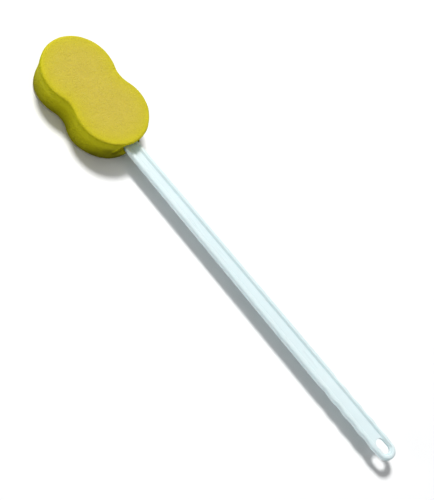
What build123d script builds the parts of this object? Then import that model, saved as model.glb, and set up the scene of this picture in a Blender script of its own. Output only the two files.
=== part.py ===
"""Long-handled bath sponge.

A peanut-shaped foam block is slit at one end and glued over the flat, perforated blade of a moulded
plastic handle. The handle is a slim bar with rounded edges and a raised rim round a sunken panel on both
faces, shallow finger scallops along both sides of the grip, and a hanging slot near its tip.

Millimetres. Origin: centre of the foam block's lower face. +X runs along the handle to its tip, +Z is up.
"""

import os
from math import cos, radians, sin, sqrt, tan

from build123d import *

# ---------------------------------------------------------------- driving dimensions
overall_length = 559.0  # far end of the foam to the tip of the handle, 22 inches

# Foam block: two round lobes joined by a soft waist
sponge_length = 140.0
sponge_width = 85.6  # across either lobe
sponge_thickness = 36.5
waist_radius = 28.5  # hollow arc on each side between the lobes
sponge_edge_radius = 4.0

# Handle bar
bar_thickness = 7.0
bar_width_at_root = 18.0
bar_side_taper = 0.38  # degrees, each side
bar_edge_radius = 2.5
bar_root_depth = 14.0  # how far the full-thickness bar reaches into the foam

# Sunken panel on both faces of the bar, inside a raised rim that keeps its width down the taper
rim_width = 4.2  # from the bar's side to the panel's lip
panel_depth = 2.0
panel_draft = 40.0  # degrees, so the rim slopes down to the panel
panel_lip_radius = 0.2

# Grip: finger scallops down both sides, then half a hollow that runs into the round tip
finger_count = 4
finger_pitch = 21.2
finger_depth = 1.0

# Hanging slot
slot_length = 17.7
slot_width = 11.0
slot_from_tip = 16.0  # to the slot's centre
slot_lip_radius = 0.3

# Blade inside the foam
blade_length = 94.0  # from the bar's root to the blade's end
blade_width = 36.0
blade_thickness = 3.0
blade_corner_radius = 12.0
neck_length = 14.0  # wedge between the bar's thickness and the blade's
neck_width = 16.0
glue_hole_diameter = 6.0
glue_hole_spacing_x = 18.0
glue_hole_spacing_y = 17.0
glue_hole_rows = 4

# Adhesive and the pocket cut for the handle
glue_film = 0.3
glue_margin = 2.0  # the film stops short of the blade's outline
pocket_clearance = 0.3

# ---------------------------------------------------------------- places worked out from them
sponge_end_x = sponge_length / 2
tip_x = overall_length - sponge_end_x
mid_z = sponge_thickness / 2  # the handle lies in the block's middle plane

lobe_radius = sponge_width / 2
lobe_x = sponge_end_x - lobe_radius
waist_centre_y = sqrt((lobe_radius + waist_radius) ** 2 - lobe_x**2)
waist_half_width = waist_centre_y - waist_radius

root_x = sponge_end_x - bar_root_depth
blade_end_x = root_x - blade_length
blade_centre_x = (root_x + blade_end_x) / 2
glue_hole_x = blade_centre_x - neck_length / 2

# The tip's arc runs on from the last hollow, so its radius follows from the taper and the overall length
side_angle = radians(bar_side_taper)
side_slope = tan(side_angle)
side_to_tip = side_slope + 1 / cos(side_angle)
tip_side_y = bar_width_at_root / 2 - finger_depth / cos(side_angle) + side_slope * (tip_x - root_x)
tip_radius = tip_side_y / (1 + side_slope * side_to_tip) / cos(side_angle)
tip_centre_x = tip_x - tip_radius
tip_start_x = tip_centre_x - tip_radius * sin(side_angle)
tip_start = (tip_start_x - root_x - finger_depth * sin(side_angle)) / cos(side_angle)  # along the side
last_crest = tip_start - finger_pitch / 2
first_crest = last_crest - finger_count * finger_pitch
slot_x = tip_x - slot_from_tip

# The panel's lip runs beside the bar's sides and ends in an arc that keeps the rim's width at the tip
lip_at_root = bar_width_at_root / 2 - rim_width / cos(side_angle)
lip_to_origin = (lip_at_root - side_slope * root_x) * cos(side_angle)
panel_end_centre_x = (tip_x - rim_width - lip_to_origin) / (1 + sin(side_angle))
panel_end_radius = tip_x - rim_width - panel_end_centre_x

half_web = bar_thickness / 2 - panel_depth  # half the plastic left between the two panels
side_plane = Plane((0, 0, mid_z), x_dir=(1, 0, 0), z_dir=(0, -1, 0))  # lengthwise, down the middle
upper_face_plane = Plane((0, 0, mid_z + bar_thickness / 2), x_dir=(1, 0, 0), z_dir=(0, 0, 1))
lower_face_plane = Plane((0, 0, mid_z - bar_thickness / 2), x_dir=(1, 0, 0), z_dir=(0, 0, -1))


def sponge_outline():
    """Closed line of the peanut: four tangent arcs."""
    share = lobe_radius / (lobe_radius + waist_radius)
    join_x = lobe_x * (1 - share)
    join_y = waist_centre_y * share
    ThreePointArc((join_x, join_y), (sponge_end_x, 0), (join_x, -join_y))
    ThreePointArc((join_x, -join_y), (0, -waist_half_width), (-join_x, -join_y))
    ThreePointArc((-join_x, -join_y), (-sponge_end_x, 0), (-join_x, join_y))
    ThreePointArc((-join_x, join_y), (0, waist_half_width), (join_x, join_y))


def s_bend(start, end, length, step):
    """Two equal tangent arcs that move sideways by the step, up for a positive one, over the length."""
    middle = ((start[0] + end[0]) / 2, (start[1] + end[1]) / 2)
    radius = (length**2 + step**2) / (4 * step)
    RadiusArc(start, middle, -radius)
    RadiusArc(middle, end, radius)


def side_point(along, dip=0.0):
    """Point on the bar's tapering side, measured along it from the root, dipped towards the centre line."""
    x = root_x + along * cos(side_angle) + dip * sin(side_angle)
    y = bar_width_at_root / 2 + along * sin(side_angle) - dip * cos(side_angle)
    return (x, y)


def bar_outline():
    """Closed line of the bar: tapering sides, scalloped grip, round tip."""
    half_pitch = finger_pitch / 2
    Line((root_x, 0), side_point(0))
    Line(side_point(0), side_point(first_crest))
    for finger in range(finger_count):
        crest = first_crest + finger * finger_pitch
        valley_point = side_point(crest + half_pitch, finger_depth)
        s_bend(side_point(crest), valley_point, half_pitch, -finger_depth)
        s_bend(valley_point, side_point(crest + finger_pitch), half_pitch, finger_depth)
    tip_point = side_point(tip_start, finger_depth)
    s_bend(side_point(last_crest), tip_point, half_pitch, -finger_depth)
    TangentArc(tip_point, (tip_x, 0), tangent=(cos(side_angle), sin(side_angle)))
    mirror(about=Plane.XZ)


def panel_outline():
    """Closed line of the sunken panel: its sides keep to the bar's taper, round past the hanging slot."""
    start_x = root_x + neck_length / 2
    start_y = lip_at_root + side_slope * (start_x - root_x)
    end_x = panel_end_centre_x - panel_end_radius * sin(side_angle)
    end_y = panel_end_radius * cos(side_angle)
    Line((start_x, 0), (start_x, start_y))
    Line((start_x, start_y), (end_x, end_y))
    TangentArc((end_x, end_y), (tip_x - rim_width, 0), tangent=(cos(side_angle), sin(side_angle)))
    mirror(about=Plane.XZ)


def neck_profile(root_half, blade_half, start_x, end_x):
    """Side view of the wedge between the bar and the blade."""
    Polyline(
        (end_x, root_half),
        (start_x, blade_half),
        (start_x, -blade_half),
        (end_x, -root_half),
        close=True,
    )


# ---------------------------------------------------------------- handle, one moulding
with BuildPart() as handle:
    with BuildSketch(Plane.XY.offset(mid_z - bar_thickness / 2)):
        with BuildLine():
            bar_outline()
        make_face()
    extrude(amount=bar_thickness)
    bar_edges = handle.faces().filter_by(Axis.Z).edges()
    fillet(bar_edges.filter_by(Axis.Y, reverse=True), bar_edge_radius)

    for bar_face_plane in (upper_face_plane, lower_face_plane):
        with BuildSketch(bar_face_plane):
            with BuildLine():
                panel_outline()
            make_face()
        extrude(amount=-panel_depth, taper=panel_draft, mode=Mode.SUBTRACT)
    panel_lips = [wire for face in handle.faces().filter_by(Axis.Z) for wire in face.inner_wires()]
    fillet([edge for wire in panel_lips for edge in wire.edges()], panel_lip_radius)

    with BuildSketch(Plane.XY.offset(mid_z)):
        with Locations((slot_x, 0)):
            SlotOverall(slot_length, slot_width)
    extrude(amount=bar_thickness, both=True, mode=Mode.SUBTRACT)
    panel_floors = handle.faces().filter_by(Axis.Z)
    panel_floors = panel_floors.filter_by_position(Axis.Z, mid_z - half_web - 0.1, mid_z + half_web + 0.1)
    slot_lips = [wire for face in panel_floors for wire in face.inner_wires()]
    fillet([edge for wire in slot_lips for edge in wire.edges()], slot_lip_radius)

    with BuildSketch(side_plane):
        with BuildLine():
            neck_profile(bar_thickness / 2, blade_thickness / 2, root_x - neck_length, root_x)
        make_face()
    extrude(amount=neck_width / 2, both=True)

    with BuildSketch(Plane.XY.offset(mid_z)):
        with Locations((blade_centre_x, 0)):
            RectangleRounded(blade_length, blade_width, blade_corner_radius)
        with Locations((glue_hole_x, 0)):
            with GridLocations(glue_hole_spacing_x, glue_hole_spacing_y, glue_hole_rows, 2):
                Circle(glue_hole_diameter / 2, mode=Mode.SUBTRACT)
    extrude(amount=blade_thickness / 2, both=True)
handle.part.label = "handle"

# ---------------------------------------------------------------- adhesive, two films keyed through the blade
with BuildPart() as adhesive:
    with BuildSketch(Plane.XY.offset(mid_z)):
        with Locations((glue_hole_x, 0)):
            RectangleRounded(
                blade_length - neck_length - 2 * glue_margin,
                blade_width - 2 * glue_margin,
                blade_corner_radius - glue_margin,
            )
    extrude(amount=blade_thickness / 2 + glue_film, both=True)
    add(handle.part, mode=Mode.SUBTRACT)
adhesive.part.label = "adhesive"

# ---------------------------------------------------------------- foam block with the pocket for the handle
with BuildPart() as sponge:
    with BuildSketch():
        with BuildLine():
            sponge_outline()
        make_face()
    extrude(amount=sponge_thickness)
    fillet(sponge.faces().filter_by(Axis.Z).edges(), sponge_edge_radius)

    with BuildSketch(Plane.XY.offset(mid_z)):
        with Locations((blade_centre_x, 0)):
            RectangleRounded(
                blade_length + 2 * pocket_clearance,
                blade_width + 2 * pocket_clearance,
                blade_corner_radius + pocket_clearance,
            )
    extrude(amount=blade_thickness / 2 + glue_film, both=True, mode=Mode.SUBTRACT)

    with BuildSketch(side_plane):
        with BuildLine():
            neck_profile(
                bar_thickness / 2 + pocket_clearance,
                blade_thickness / 2 + pocket_clearance,
                root_x - neck_length - pocket_clearance,
                root_x,
            )
        make_face()
    extrude(amount=neck_width / 2 + pocket_clearance, both=True, mode=Mode.SUBTRACT)

    with BuildSketch(Plane.YZ.offset(root_x - pocket_clearance)):
        with Locations((0, mid_z)):
            RectangleRounded(
                bar_width_at_root + 2 * pocket_clearance,
                bar_thickness + 2 * pocket_clearance,
                bar_edge_radius + pocket_clearance,
            )
    extrude(amount=bar_root_depth + 2 * pocket_clearance, mode=Mode.SUBTRACT)
sponge.part.label = "sponge"

# ---------------------------------------------------------------- export
os.makedirs("parts", exist_ok=True)
export_step(handle.part, "parts/handle.step")
export_step(adhesive.part, "parts/adhesive.step")
export_step(sponge.part, "parts/sponge.step")
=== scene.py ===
"""Looks of the long-handled bath sponge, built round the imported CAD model.

Metres, in the row's frame: the foam block's middle is on the Z axis, and the handle runs along +X.
The foam block is a mesh drawn from a distance formula: a peanut outline with die-cut hollow walls
and soft edges, less a pocket for the blade and a slit that the handle forces open. The handle and
the adhesive are the CAD solids, with a moulded plastic finish and a glue finish.
"""

import math

import bpy
import numpy as np
from mathutils import Matrix, Vector, noise


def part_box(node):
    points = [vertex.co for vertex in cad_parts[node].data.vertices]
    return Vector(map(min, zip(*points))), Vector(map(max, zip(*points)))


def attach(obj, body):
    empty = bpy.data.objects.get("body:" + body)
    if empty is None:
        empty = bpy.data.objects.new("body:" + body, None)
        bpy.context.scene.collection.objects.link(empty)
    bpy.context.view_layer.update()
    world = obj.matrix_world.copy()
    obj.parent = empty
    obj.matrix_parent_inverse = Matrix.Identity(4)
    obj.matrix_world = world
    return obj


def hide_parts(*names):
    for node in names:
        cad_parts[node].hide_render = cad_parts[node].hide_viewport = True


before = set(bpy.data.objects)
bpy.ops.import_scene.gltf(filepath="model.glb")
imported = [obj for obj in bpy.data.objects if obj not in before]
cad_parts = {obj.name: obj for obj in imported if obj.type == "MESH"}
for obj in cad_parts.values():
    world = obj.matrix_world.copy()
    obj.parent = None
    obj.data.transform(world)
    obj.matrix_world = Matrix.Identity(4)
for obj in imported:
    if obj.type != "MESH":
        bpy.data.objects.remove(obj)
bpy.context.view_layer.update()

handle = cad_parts["handle"]
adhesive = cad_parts["adhesive"]

MM = 0.001


def box_mm(node):
    low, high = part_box(node)
    return np.array(low) / MM, np.array(high) / MM


block_low, block_high = box_mm("sponge")
handle_low, handle_high = box_mm("handle")
adhesive_low, adhesive_high = box_mm("adhesive")

# ---------------------------------------------------------------- foam block, in millimetres
# Heights z are from the block's mid-plane, and names in _AT and _SPAN are angles in degrees
LENGTH, WIDTH, THICK = block_high - block_low
MID_Z = (block_low[2] + block_high[2]) / 2
LOBE_R = WIDTH / 2
LOBE_X = (LENGTH - WIDTH) / 2
WAIST_R = 28.5
WAIST_Y = math.sqrt((LOBE_R + WAIST_R) ** 2 - LOBE_X**2)
MOUTH_X = LENGTH / 2

EDGE_R = 3.4  # rounding of the block's edges
MOUTH_EDGE_CUT = 0.9  # less rounding toward the mouth
CROWN = 0.2  # how far the faces fall toward their edges
WALL_HOLLOW = 1.9  # depth of the die-cut walls' hollow
HOLLOW_Z, HOLLOW_HALF = 1.8, 8.0  # its height and half-width
LEAN = 0.9  # the upper face sits this far toward the handle
NARROWING = 0.022  # and is this much narrower on its far side
FOOT_TUCK = 1.9  # how far the foot of the wall is drawn in at either end
SHOULDER_TUCK, SHOULDER_AT, SHOULDER_SPAN = 1.8, 28.0, 22.0  # more at the far end's shoulders
CORNER_TUCK, CORNER_AT, CORNER_SPAN = 1.2, 42.0, 24.0  # the upper edge's corner by the mouth

LIP_CURL = 2.8  # the wall above the slit is drawn in
LIP_POUT = -1.2  # and the wall below it pushed out
LIP_DRAG = 2.2  # most of all beside the bar
STRAIN_HALF = 19.0  # half-width of the strained wall
FOLD_HEIGHT, FOLD_HALF = 0.9, 1.1  # the fold along the slit's upper lip
GROOVE_DEPTH, GROOVE_HALF, GROOVE_DROP = 1.1, 1.6, 3.0  # and the groove under it

BAR_THICK = handle_high[2] - handle_low[2]
BLADE_WIDTH = handle_high[1] - handle_low[1]
BLADE_START = handle_low[0]
BLADE_CORNER = 12.3
CLEARANCE = 0.3  # round the blade
BAR_ROOT = MOUTH_X - 14.0  # the bar ends this far inside the foam, and the neck begins
NECK = 14.0
POCKET_HALF = (adhesive_high[2] - adhesive_low[2]) / 2 + 0.02
BAR_HALF = BAR_THICK / 2 + 0.12
BAR_WIDTH = 18.2
BAR_CORNER = 0.45  # share of the pocket's half-height
SLIT_END = BLADE_WIDTH / 2 + 3.5
LIP_ROUNDING = 2.1  # where the pocket opens in the wall

MESH_STEP = 0.72
MARGIN = 2.1  # empty space kept round the block in the grid
SKIN_REACH = 1.5  # what lies deeper than this is the pocket's wall, and stays plain

RIM_COLOR = np.array((0.600, 0.527, 0.024))
FACE_COLOR = np.array((0.592, 0.480, 0.072))
# The walls are the same foam as the faces, coloured darker: painted shade
SHADED_WALL_COLOR = np.array((0.462, 0.440, 0.003))


def smooth_step(low, high, value):
    """0 below low, 1 above high, smooth between; the other way round where low is the larger."""
    t = np.clip((value - low) / (high - low), 0.0, 1.0)
    return t * t * (3.0 - 2.0 * t)


def bell(value, half_width):
    """1 at zero, falling to nothing either side."""
    return np.exp(-((value / half_width) ** 2))


def peanut(x, y):
    """Signed distance to the block's outline, negative inside."""
    ax, ay = np.abs(x), np.abs(y)
    lobe_side = WAIST_Y * (ax - LOBE_X) + LOBE_X * ay > 0
    lobe = np.hypot(ax - LOBE_X, ay) - LOBE_R
    waist = WAIST_R - np.hypot(ax, ay - WAIST_Y)
    return np.where(lobe_side, lobe, waist)


def seam(y):
    """Height of the slit's upper lip: over the bar, lifted beside it, then down to its end."""
    ay = np.abs(y)
    lifted = 1.6 * bell(ay - 11.8, 2.2)
    return BAR_HALF + 0.3 + lifted - 8.3 * smooth_step(13.0, SLIT_END + 0.5, ay)


def fold(y, z):
    """Distance above the fold that runs along the slit's upper lip, and how strongly it shows."""
    ay = np.abs(y)
    lean = seam(ay + 0.5) - seam(ay - 0.5)
    shows = smooth_step(8.5, 11.0, ay) * smooth_step(SLIT_END + 1.0, SLIT_END - 3.0, ay)
    return (z - seam(y) - 1.5) / np.sqrt(1.0 + lean**2), shows


def wall_inset(x, y, z):
    """How far the wall lies inside the outline: its hollow, its foot and one upper corner."""
    around = np.arctan2(y, x)
    hollow = WALL_HOLLOW * (1.0 + 0.12 * np.sin(3.0 * around + 0.6))
    inset = hollow * bell(z - HOLLOW_Z, HOLLOW_HALF)
    shoulder = np.degrees(np.arctan2(np.abs(y), -x - LOBE_X))
    tuck = FOOT_TUCK * smooth_step(25.0, -10.0, x) + FOOT_TUCK * smooth_step(25.0, 50.0, x)
    tuck = tuck + SHOULDER_TUCK * bell(shoulder - SHOULDER_AT, SHOULDER_SPAN)
    inset = inset + tuck * smooth_step(9.0, -16.0, z)
    corner = np.degrees(np.arctan2(y, x - LOBE_X))
    cut = CORNER_TUCK * bell(corner - CORNER_AT, CORNER_SPAN)
    return inset + cut * smooth_step(-5.0, 15.0, z)


def mouth_inset(x, y, z):
    """How the handle strains the wall: curled over the slit, folded along it, dragged out below."""
    above = z - seam(y)
    near_mouth = smooth_step(52.0, 64.0, x)
    strained = near_mouth * np.exp(-((y / STRAIN_HALF) ** 6))
    curl = LIP_CURL * bell(np.maximum(above, 0.0), 7.5)
    pout = LIP_POUT * bell(np.minimum(z + BAR_HALF, 0.0), 5.0)
    inset = strained * (pout + (curl - pout) * smooth_step(-1.2, 0.0, above))
    off_fold, shows = fold(y, z)
    ridge = FOLD_HEIGHT * bell(off_fold, FOLD_HALF)
    ridge = ridge - GROOVE_DEPTH * bell(off_fold + GROOVE_DROP, GROOVE_HALF)
    inset = inset - ridge * shows * smooth_step(52.0, 58.0, x)
    beside_bar = np.exp(-(((np.abs(y) - 10.5) / 3.2) ** 2) - ((z + 2.5) / 3.8) ** 2)
    return inset - LIP_DRAG * beside_bar * near_mouth


def block(x, y, z):
    """Foam block without its pocket: a little sheared, with inset walls and rounded edges."""
    height = np.clip(z / THICK + 0.5, 0.0, 1.0)
    x = x - LEAN * height
    y = y * (1.0 + NARROWING * height * smooth_step(0.0, 20.0, y))
    edge = peanut(x, y)
    crown = CROWN * np.exp(np.clip(edge + 2.0, -60.0, 0.0) / 4.0)
    round_edge = EDGE_R - MOUTH_EDGE_CUT * smooth_step(25.0, 55.0, x)
    side = edge + wall_inset(x, y, z) + mouth_inset(x, y, z) + round_edge
    face = np.abs(z) - THICK / 2 + crown + round_edge
    outside = np.hypot(np.maximum(side, 0.0), np.maximum(face, 0.0))
    return outside + np.minimum(np.maximum(side, face), 0.0) - round_edge


def rounded_box(p, q, half_p, half_q, corner):
    """Signed distance to a rounded rectangle."""
    p = np.abs(p) - half_p + corner
    q = np.abs(q) - half_q + corner
    outside = np.hypot(np.maximum(p, 0.0), np.maximum(q, 0.0))
    return outside + np.minimum(np.maximum(p, q), 0.0) - corner


def pocket(x, y, z):
    """Space for the blade, the neck and the bar, and the narrow gap of the slit beside the bar."""
    neck = smooth_step(BAR_ROOT - NECK, BAR_ROOT, x)
    height = POCKET_HALF + (BAR_HALF - POCKET_HALF) * neck
    bar = rounded_box(y, z, BAR_WIDTH / 2 + 0.2, height, height * BAR_CORNER)
    bar = np.maximum(bar, BAR_ROOT - NECK - x)
    ay = np.abs(y)
    shut = 0.4 * np.maximum(MOUTH_X - 4.0 - x, 0.0)  # the gap beside the bar closes further in
    gap_floor = -BAR_HALF - 0.2 + (seam(y) + BAR_HALF - 0.5) * smooth_step(9.2, 12.0, ay)
    slit = np.maximum(z - seam(y) - 0.1 + shut, gap_floor + shut - z)
    slit = np.maximum(slit, np.maximum(ay - SLIT_END - 1.0, BAR_ROOT - x))
    half_x = (BAR_ROOT + CLEARANCE - (BLADE_START - CLEARANCE)) / 2
    centre_x = (BAR_ROOT + BLADE_START) / 2
    plan = rounded_box(x - centre_x, y, half_x, BLADE_WIDTH / 2 + CLEARANCE, BLADE_CORNER)
    blade = np.maximum(plan, np.abs(z) - POCKET_HALF)
    return np.minimum(np.minimum(bar, slit), blade)


def foam(x, y, z):
    """The whole foam block: the pocket is cut out with rounded lips."""
    body = block(x, y, z)
    hole = -pocket(x, y, z)
    near_skin = smooth_step(-6.0, -1.0, body)
    radius = 0.05 + LIP_ROUNDING * near_skin
    blend = np.maximum(radius - np.abs(body - hole), 0.0) / radius
    return np.maximum(body, hole) + blend * blend * radius * 0.25


def surface_net(low, high, step, field):
    """Quad mesh of the field's zero surface, one vertex in each cell that it crosses."""
    axes = [np.arange(low[i], high[i] + step, step) for i in range(3)]
    grid = np.meshgrid(*axes, indexing="ij")
    value = field(*grid)
    shape = value.shape
    cells = tuple(n - 1 for n in shape)
    total = np.zeros(cells + (3,))
    count = np.zeros(cells)
    inside = value < 0
    corner = [slice(0, -1), slice(1, None)]
    for axis in range(3):
        others = [a for a in range(3) if a != axis]
        for b in (0, 1):
            for c in (0, 1):
                first, second = [None] * 3, [None] * 3
                first[axis], second[axis] = corner[0], corner[1]
                first[others[0]] = second[others[0]] = corner[b]
                first[others[1]] = second[others[1]] = corner[c]
                v0, v1 = value[tuple(first)], value[tuple(second)]
                crossed = inside[tuple(first)] != inside[tuple(second)]
                share = np.where(crossed, v0 / np.where(crossed, v0 - v1, 1.0), 0.0)
                total[..., axis] += share * crossed
                total[..., others[0]] += b * crossed
                total[..., others[1]] += c * crossed
                count += crossed
    used = count > 0
    index = np.full(cells, -1)
    index[used] = np.arange(used.sum())
    where = np.argwhere(used)
    points = np.array(low) + (where + total[used] / count[used][:, None]) * step
    quads = []
    for axis in range(3):
        a, b = (axis + 1) % 3, (axis + 2) % 3
        head = [slice(1, -1)] * 3
        tail = [slice(1, -1)] * 3
        head[axis], tail[axis] = slice(0, -1), slice(1, None)
        v0, v1 = inside[tuple(head)], inside[tuple(tail)]
        for flip, crossing in ((False, v0 & ~v1), (True, ~v0 & v1)):
            at = np.argwhere(crossing)
            at[:, a] += 1
            at[:, b] += 1
            ring = []
            for da, db in ((1, 1), (0, 1), (0, 0), (1, 0)):
                cell = at.copy()
                cell[:, a] -= da
                cell[:, b] -= db
                ring.append(index[tuple(cell.T)])
            ring = np.stack(ring, axis=1)
            quads.append(ring[:, ::-1] if flip else ring)
    return points, np.concatenate(quads)


def slope(field, points, reach=0.05):
    """Unit normals of the field, and its steepness."""
    grad = np.zeros_like(points)
    for axis in range(3):
        shift = np.zeros(3)
        shift[axis] = reach
        ahead, behind = points + shift, points - shift
        grad[:, axis] = (field(*ahead.T) - field(*behind.T)) / (2 * reach)
    steep = np.maximum(np.linalg.norm(grad, axis=1), 0.3)
    return grad / steep[:, None], steep


def roughen(points, normal, skin):
    """Cut foam is never quite even: soft lumps a few millimetres across, and scattered cells."""
    depth = np.zeros(len(points))
    for i in np.flatnonzero(skin):
        p = Vector(points[i])
        lumps = noise.noise(p / 9.0) * 0.16 + noise.noise(p / 3.1) * 0.07
        distances, centres = noise.voronoi(p / 4.6)
        size = 0.16 + 0.16 * noise.cell(centres[0] * 3.7)
        pit = max(0.0, 1.0 - distances[0] / max(size, 0.05))
        depth[i] = lumps + 0.14 + 0.42 * min(1.0, pit * 1.6)
    return points - normal * depth[:, None]


def foam_color(points, normal, skin):
    """Tan faces, yellower toward their edges, and walls of a deeper, darker green-yellow, the
    darkness painted shade.

    Round the mouth the wall over the slit is lit with a painted highlight, brightest on the fold,
    and darkened with painted shade under it.
    """
    x, y, z = points.T
    ay = np.abs(y)
    inward = np.maximum(-peanut(x, y) - 3.0, 0.0)
    # The faces turn from the rim colour to the tan face colour toward their middle
    toward_middle = (1.0 - np.exp(-inward / 11.0))[:, None]
    face_color = RIM_COLOR + (FACE_COLOR - RIM_COLOR) * toward_middle

    mouth = smooth_step(50.0, 58.0, x)
    off_fold, shows = fold(y, z)
    # Painted highlight: along the fold on the slit's upper lip and over the wall above the slit,
    # where it also takes back the painted shade
    pale = 0.75 * shows * bell(off_fold, FOLD_HALF)
    pale = pale + 0.45 * np.exp(-((y / STRAIN_HALF) ** 6)) * smooth_step(0.0, 2.0, z - seam(y))
    # Painted shade: under the fold, in a patch further out beside the slit, and in the gap beside
    # the bar
    mouth_shade = 0.42 * shows * bell(off_fold + 3.2, 2.0)
    mouth_shade = mouth_shade + 0.36 * np.exp(-(((ay - 25.0) / 4.5) ** 2) - ((z + 1.0) / 4.0) ** 2)
    mouth_shade = mouth_shade + 0.55 * np.exp(-(((ay - 10.0) / 1.1) ** 2) - (z / 4.5) ** 2)

    # Painted shade: the walls darken toward their bottom, and more so low down toward the mouth;
    # the foot darkens further away from the mouth
    shaded = 0.32 * smooth_step(4.0, -15.0, z)
    shaded = shaded + 0.24 * smooth_step(38.0, 60.0, x) * smooth_step(9.0, -4.0, z)
    foot = 0.2 * smooth_step(-3.0, -18.0, z) * (1.0 - mouth)
    painted_light = 1.0 - shaded * (1.0 - mouth * np.minimum(pale * 1.8, 1.0)) - foot
    shaded_wall_color = SHADED_WALL_COLOR * (painted_light * (1.0 + mouth * (pale - np.minimum(mouth_shade, 0.7))))[:, None]

    # Skin facing up or down gets the face colour; walls and the pocket's inside get the darker wall
    # colour, painted shade
    flat = (smooth_step(0.35, 0.95, np.abs(normal[:, 2])) * skin)[:, None]
    return shaded_wall_color + (face_color - shaded_wall_color) * flat


def make_foam():
    far = np.array((LENGTH, WIDTH, THICK)) / 2 + MARGIN
    points, quads = surface_net(-far, far, MESH_STEP, foam)
    for _ in range(4):  # settle the vertices on the surface
        normal, steep = slope(foam, points)
        points -= normal * np.clip(foam(*points.T) / steep, -0.3, 0.3)[:, None]
    normal, _ = slope(foam, points, 0.3)
    skin = np.abs(block(*points.T)) < SKIN_REACH
    points = roughen(points, normal, skin)

    mesh = bpy.data.meshes.new("foam_block")
    mesh.from_pydata(((points + (0, 0, MID_Z)) * MM).tolist(), [], quads.tolist())
    mesh.polygons.foreach_set("use_smooth", [True] * len(mesh.polygons))
    color = foam_color(points, normal, skin)
    tone = mesh.attributes.new("tone", "FLOAT_COLOR", "POINT")
    tone.data.foreach_set("color", np.hstack([color, np.ones((len(color), 1))]).ravel())
    mesh.validate()
    piece = bpy.data.objects.new("foam_block", mesh)
    bpy.context.scene.collection.objects.link(piece)
    return piece


sponge = make_foam()

# ---------------------------------------------------------------- materials


def new_material(name):
    material = bpy.data.materials.new(name)
    material.use_nodes = True
    nodes, links = material.node_tree.nodes, material.node_tree.links
    return material, nodes, links, nodes["Principled BSDF"]


def add_node(nodes, kind, **settings):
    node = nodes.new(kind)
    for key, value in settings.items():
        if key in node.inputs:
            node.inputs[key].default_value = value
        else:
            setattr(node, key, value)
    return node


def ramp(nodes, stops):
    node = nodes.new("ShaderNodeValToRGB")
    elements = node.color_ramp.elements
    while len(elements) < len(stops):
        elements.new(0.5)
    for element, (place, color) in zip(elements, stops):
        element.position = place
        element.color = color
    return node


def foam_material():
    material, nodes, links, shader = new_material("foam")
    where = nodes.new("ShaderNodeTexCoord")
    tone = add_node(nodes, "ShaderNodeAttribute", attribute_name="tone")

    mottle = add_node(nodes, "ShaderNodeTexNoise", Scale=90.0, Detail=6.0, Roughness=0.62)
    links.new(where.outputs["Object"], mottle.inputs["Vector"])
    shade = ramp(nodes, [(0.34, (0.955, 0.95, 0.93, 1)), (0.66, (1.0, 1.0, 1.0, 1))])
    links.new(mottle.outputs["Fac"], shade.inputs["Fac"])
    faces = add_node(nodes, "ShaderNodeMix", data_type="RGBA", blend_type="MULTIPLY")
    faces.inputs[0].default_value = 1.0
    links.new(tone.outputs["Color"], faces.inputs[6])
    links.new(shade.outputs["Color"], faces.inputs[7])

    # Open cells: small mouths darkened with painted shade, finer than the mesh
    cells = add_node(nodes, "ShaderNodeTexVoronoi", Scale=1150.0, Randomness=1.0)
    coarse = add_node(nodes, "ShaderNodeTexVoronoi", Scale=430.0, Randomness=1.0)
    links.new(where.outputs["Object"], cells.inputs["Vector"])
    links.new(where.outputs["Object"], coarse.inputs["Vector"])
    fine_shade = ramp(nodes, [(0.04, (0.42, 0.40, 0.34, 1)), (0.34, (1.05, 1.05, 1.05, 1))])
    links.new(cells.outputs["Distance"], fine_shade.inputs["Fac"])
    shaded = add_node(nodes, "ShaderNodeMix", data_type="RGBA", blend_type="MULTIPLY")
    shaded.inputs[0].default_value = 0.85
    links.new(faces.outputs[2], shaded.inputs[6])
    links.new(fine_shade.outputs["Color"], shaded.inputs[7])
    links.new(shaded.outputs[2], shader.inputs["Base Color"])

    fine_bump = add_node(nodes, "ShaderNodeBump", Strength=0.75, Distance=0.0005)
    coarse_bump = add_node(nodes, "ShaderNodeBump", Strength=0.35, Distance=0.0007)
    links.new(coarse.outputs["Distance"], coarse_bump.inputs["Height"])
    links.new(cells.outputs["Distance"], fine_bump.inputs["Height"])
    links.new(coarse_bump.outputs["Normal"], fine_bump.inputs["Normal"])
    links.new(fine_bump.outputs["Normal"], shader.inputs["Normal"])

    shader.inputs["Roughness"].default_value = 0.92
    shader.inputs["Specular IOR Level"].default_value = 0.1
    shader.inputs["Subsurface Weight"].default_value = 0.25
    shader.inputs["Subsurface Radius"].default_value = (0.9, 0.75, 0.12)
    shader.inputs["Subsurface Scale"].default_value = 0.003
    return material


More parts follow.
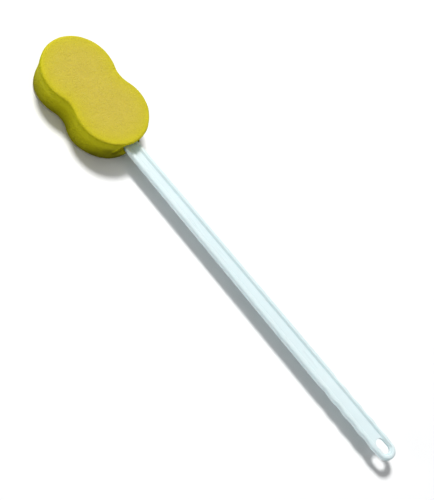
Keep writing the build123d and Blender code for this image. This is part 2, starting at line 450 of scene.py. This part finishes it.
def plastic_material():
    material, nodes, links, shader = new_material("moulded_plastic")
    where = nodes.new("ShaderNodeTexCoord")

    tint = add_node(nodes, "ShaderNodeTexNoise", Scale=22.0, Detail=3.0, Roughness=0.5)
    links.new(where.outputs["Object"], tint.inputs["Vector"])
    color = ramp(nodes, [(0.3, (0.712, 0.822, 0.840, 1)), (0.7, (0.744, 0.850, 0.868, 1))])
    links.new(tint.outputs["Fac"], color.inputs["Fac"])
    links.new(color.outputs["Color"], shader.inputs["Base Color"])

    # Gloss wanders a little along the moulding's flow
    stretch = nodes.new("ShaderNodeMapping")
    stretch.inputs["Scale"].default_value = (9.0, 160.0, 160.0)
    links.new(where.outputs["Object"], stretch.inputs["Vector"])
    flow = add_node(nodes, "ShaderNodeTexNoise", Scale=1.0, Detail=2.0, Roughness=0.5)
    links.new(stretch.outputs["Vector"], flow.inputs["Vector"])
    gloss = nodes.new("ShaderNodeMapRange")
    gloss.inputs["From Min"].default_value = 0.3
    gloss.inputs["From Max"].default_value = 0.7
    gloss.inputs["To Min"].default_value = 0.24
    gloss.inputs["To Max"].default_value = 0.36
    links.new(flow.outputs["Fac"], gloss.inputs["Value"])
    links.new(gloss.outputs["Result"], shader.inputs["Roughness"])

    wave = add_node(nodes, "ShaderNodeBump", Strength=0.06, Distance=0.0004)
    links.new(flow.outputs["Fac"], wave.inputs["Height"])
    links.new(wave.outputs["Normal"], shader.inputs["Normal"])

    shader.inputs["IOR"].default_value = 1.49
    shader.inputs["Specular IOR Level"].default_value = 0.5
    shader.inputs["Subsurface Weight"].default_value = 0.7
    shader.inputs["Subsurface Radius"].default_value = (0.9, 1.0, 1.0)
    shader.inputs["Subsurface Scale"].default_value = 0.0045
    return material


def adhesive_material():
    material, nodes, links, shader = new_material("hot_melt_glue")
    where = nodes.new("ShaderNodeTexCoord")
    cloud = add_node(nodes, "ShaderNodeTexNoise", Scale=140.0, Detail=4.0, Roughness=0.55)
    links.new(where.outputs["Object"], cloud.inputs["Vector"])
    color = ramp(nodes, [(0.35, (0.52, 0.40, 0.19, 1)), (0.65, (0.66, 0.55, 0.31, 1))])
    links.new(cloud.outputs["Fac"], color.inputs["Fac"])
    links.new(color.outputs["Color"], shader.inputs["Base Color"])
    ripple = add_node(nodes, "ShaderNodeBump", Strength=0.3, Distance=0.0003)
    links.new(cloud.outputs["Fac"], ripple.inputs["Height"])
    links.new(ripple.outputs["Normal"], shader.inputs["Normal"])
    shader.inputs["Roughness"].default_value = 0.34
    shader.inputs["Subsurface Weight"].default_value = 0.3
    shader.inputs["Subsurface Scale"].default_value = 0.001
    return material


def give(piece, material):
    piece.data.materials.clear()
    piece.data.materials.append(material)


give(sponge, foam_material())
give(handle, plastic_material())
give(adhesive, adhesive_material())
handle.data.polygons.foreach_set("use_smooth", [True] * len(handle.data.polygons))
SHARP_ANGLE = math.radians(32)
handle.data.set_sharp_from_angle(angle=SHARP_ANGLE)

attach(sponge, "root")
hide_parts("sponge")

# ---------------------------------------------------------------- stage, light and camera
floor_mesh = bpy.data.meshes.new("floor")
FLOOR_HALF = 4.0
floor_signs = ((-1, -1), (1, -1), (1, 1), (-1, 1))
floor_corners = [(x * FLOOR_HALF, y * FLOOR_HALF, 0) for x, y in floor_signs]
floor_mesh.from_pydata(floor_corners, [], [(0, 1, 2, 3)])
floor = bpy.data.objects.new("floor", floor_mesh)
bpy.context.scene.collection.objects.link(floor)
floor_material, _, _, floor_shader = new_material("pale_floor")
floor_shader.inputs["Base Color"].default_value = (0.96, 0.96, 0.96, 1)
floor_shader.inputs["Roughness"].default_value = 0.9
floor_shader.inputs["Specular IOR Level"].default_value = 0.1
floor.data.materials.append(floor_material)

world = bpy.data.worlds.new("studio")
world.use_nodes = True
world.node_tree.nodes["Background"].inputs["Color"].default_value = (0.93, 0.97, 1.0, 1)
world.node_tree.nodes["Background"].inputs["Strength"].default_value = 0.08
bpy.context.scene.world = world


def area_light(name, toward, distance, size, power, aim):
    light = bpy.data.lights.new(name, "AREA")
    light.shape = "DISK"
    light.size = size
    light.energy = power
    lamp = bpy.data.objects.new(name, light)
    direction = Vector(toward).normalized()
    lamp.location = Vector(aim) + direction * distance
    lamp.rotation_euler = direction.to_track_quat("Z", "Y").to_euler()
    bpy.context.scene.collection.objects.link(lamp)


middle = Vector((0.18, 0.0, MID_Z * MM))
area_light("key", (-0.58, 0.25, 1.0), 6.5, 1.48, 398.0, middle)
area_light("overhead", (0.0, 0.1, 1.0), 4.8, 5.6, 62.0, middle)
area_light("side", (-0.5, -1.0, 0.3), 3.0, 1.6, 14.0, middle)

CAMERA_TARGET = Vector((0.2094, -0.0010, MID_Z * MM))
CAMERA_DISTANCE = 1.5567
azimuth, elevation, roll = math.radians(-81.13), math.radians(55.49), math.radians(42.81)
back = Vector(
    (
        math.cos(elevation) * math.cos(azimuth),
        math.cos(elevation) * math.sin(azimuth),
        math.sin(elevation),
    )
)
level = Vector((0, 0, 1)).cross(back).normalized()
upright = back.cross(level)
right = level * math.cos(roll) + upright * math.sin(roll)
up = back.cross(right)
camera_data = bpy.data.cameras.new("camera")
camera_data.lens = 108.0
camera_data.sensor_width = 36.0
camera = bpy.data.objects.new("camera", camera_data)
turned = Matrix((right, up, back)).transposed().to_4x4()
camera.matrix_world = Matrix.Translation(CAMERA_TARGET + back * CAMERA_DISTANCE) @ turned
bpy.context.scene.collection.objects.link(camera)
bpy.context.scene.camera = camera
bpy.context.scene.view_settings.view_transform = "Standard"
